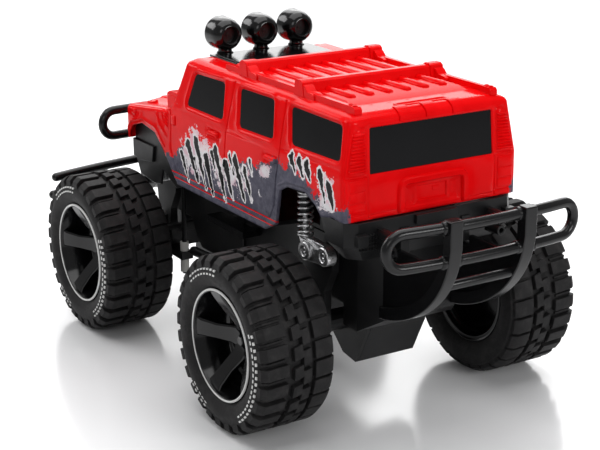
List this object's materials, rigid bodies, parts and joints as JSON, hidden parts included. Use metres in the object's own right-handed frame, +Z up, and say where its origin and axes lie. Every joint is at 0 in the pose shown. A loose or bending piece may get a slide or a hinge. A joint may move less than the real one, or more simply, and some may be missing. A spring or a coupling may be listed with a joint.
{
  "type": "remote control car",
  "caption": "Big-wheeled remote control off-road car: boxy body shell on a sprung chassis, tube bumpers, roof lamps, driven rear axle and steered front wheels.",
  "frame": {"origin": "on the ground under the middle of the car, halfway between the two bumpers", "axes": "+X forward, +Y to the car's left, +Z up"},
  "size_m": [0.3715, 0.2228, 0.212],
  "materials": {
    "body_paint": "glossy red moulded plastic with printed grey lower sides",
    "black_plastic": "satin moulded plastic",
    "gloss_black": "gloss black moulded plastic",
    "window_tint": "dark tinted plastic",
    "clear_lens": "clear moulded plastic",
    "tyre_rubber": "soft matt rubber",
    "silver_plating": "satin silver plating",
    "spring_steel": "bright drawn steel",
    "motor_can": "zinc plated can",
    "natural_nylon": "natural nylon",
    "board_green": "solder-masked board",
    "battery_wrap": "shrink-wrapped cells"
  },
  "bodies": {
    "chassis": {"body_shell": "body_paint", "windscreen": "window_tint", "window_left": "window_tint", "window_right": "window_tint", "rear_window": "window_tint", "grille": "gloss_black", "headlamp_left": "clear_lens", "headlamp_right": "clear_lens", "lamp_bar": "gloss_black", "lamp_pod_left": "gloss_black", "lamp_pod_centre": "gloss_black", "lamp_pod_right": "gloss_black", "lamp_lens_left": "clear_lens", "lamp_lens_centre": "clear_lens", "lamp_lens_right": "clear_lens", "chassis_tub": "black_plastic", "chassis_deck": "black_plastic", "rear_valance": "black_plastic", "rear_bumper": "black_plastic", "front_bumper": "black_plastic", "front_guard": "black_plastic", "side_step_left": "black_plastic", "side_step_right": "black_plastic", "battery_pack": "battery_wrap", "circuit_board": "board_green", "spring_rear_left": "spring_steel", "spring_rear_right": "spring_steel", "spring_front_left": "spring_steel", "spring_front_right": "spring_steel"},
    "rear_axle_unit": {"gearbox_housing": "black_plastic", "gearbox_cover": "black_plastic", "drive_motor": "motor_can", "shock_bracket_rear_left": "silver_plating", "shock_bracket_rear_right": "silver_plating"},
    "rear_wheelset": {"rear_axle_shaft": "spring_steel", "axle_gear": "natural_nylon", "rim_rear_left": "gloss_black", "rim_rear_right": "gloss_black", "tyre_rear_left": "tyre_rubber", "tyre_rear_right": "tyre_rubber"},
    "idler": {"idler_gear": "natural_nylon"},
    "pinion": {"motor_pinion": "spring_steel"},
    "front_axle_unit": {"front_axle_beam": "black_plastic", "steering_servo": "black_plastic", "guide_bush_left": "natural_nylon", "guide_bush_right": "natural_nylon", "shock_bracket_front_left": "silver_plating", "shock_bracket_front_right": "silver_plating"},
    "left_knuckle": {"knuckle_left": "natural_nylon"},
    "right_knuckle": {"knuckle_right": "natural_nylon"},
    "left_front_wheel": {"rim_front_left": "gloss_black", "tyre_front_left": "tyre_rubber"},
    "right_front_wheel": {"rim_front_right": "gloss_black", "tyre_front_right": "tyre_rubber"},
    "track_rod": {"tie_rod": "black_plastic"},
    "servo_arm": {"steering_arm": "natural_nylon"},
    "switch_knob": {"power_switch": "black_plastic"},
    "battery_door": {"battery_cover": "black_plastic"}
  },
  "joints": [
    {"name": "rear_suspension", "type": "slide", "parent": "chassis", "child": "rear_axle_unit", "axis": [0, 0, 1], "range_m": [0, 0.005], "stiffness_N_per_m": 1800, "springref_m": -0.004, "deforming": ["spring_rear_left", "spring_rear_right"]},
    {"name": "rear_axle_spin", "type": "hinge", "parent": "rear_axle_unit", "child": "rear_wheelset", "pos_m": [-0.07975, 0, 0.052], "axis": [0, 1, 0], "continuous": true},
    {"name": "idler_spin", "type": "hinge", "parent": "rear_axle_unit", "child": "idler", "pos_m": [-0.07175, 0, 0.06779], "axis": [0, 1, 0], "continuous": true},
    {"name": "pinion_spin", "type": "hinge", "parent": "rear_axle_unit", "child": "pinion", "pos_m": [-0.05575, 0, 0.06959], "axis": [0, 1, 0], "continuous": true},
    {"name": "front_suspension", "type": "slide", "parent": "chassis", "child": "front_axle_unit", "axis": [0, 0, 1], "range_m": [0, 0.005], "stiffness_N_per_m": 1800, "springref_m": -0.004, "deforming": ["spring_front_left", "spring_front_right"]},
    {"name": "steer_left", "type": "hinge", "parent": "front_axle_unit", "child": "left_knuckle", "pos_m": [0.11325, 0.057, 0.052], "axis": [0, 0, 1], "range_deg": [-20, 20]},
    {"name": "steer_right", "type": "hinge", "parent": "front_axle_unit", "child": "right_knuckle", "pos_m": [0.11325, -0.057, 0.052], "axis": [0, 0, 1], "range_deg": [-20, 20]},
    {"name": "left_wheel_spin", "type": "hinge", "parent": "left_knuckle", "child": "left_front_wheel", "pos_m": [0.11325, 0.088, 0.052], "axis": [0, 1, 0], "continuous": true},
    {"name": "right_wheel_spin", "type": "hinge", "parent": "right_knuckle", "child": "right_front_wheel", "pos_m": [0.11325, -0.088, 0.052], "axis": [0, 1, 0], "continuous": true},
    {"name": "track_rod_slide", "type": "slide", "parent": "front_axle_unit", "child": "track_rod", "axis": [0, 1, 0], "range_m": [-0.0049, 0.0049]},
    {"name": "servo_arm_turn", "type": "hinge", "parent": "front_axle_unit", "child": "servo_arm", "pos_m": [0.11325, 0, 0.052], "axis": [0, 0, 1], "range_deg": [-20, 20]},
    {"name": "switch_slide", "type": "slide", "parent": "chassis", "child": "switch_knob", "axis": [1, 0, 0], "range_m": [0, 0.0035]},
    {"name": "battery_door_slide", "type": "slide", "parent": "chassis", "child": "battery_door", "axis": [-1, 0, 0], "range_m": [0, 0.016]}
  ],
  "couplings": [
    {"joint": "idler_spin", "follows": "rear_axle_spin", "ratio": -2.6667},
    {"joint": "pinion_spin", "follows": "rear_axle_spin", "ratio": 8},
    {"joint": "steer_right", "follows": "steer_left", "ratio": 1},
    {"joint": "servo_arm_turn", "follows": "steer_left", "ratio": 1},
    {"joint": "track_rod_slide", "follows": "steer_left", "m_per_rad": -0.014}
  ]
}
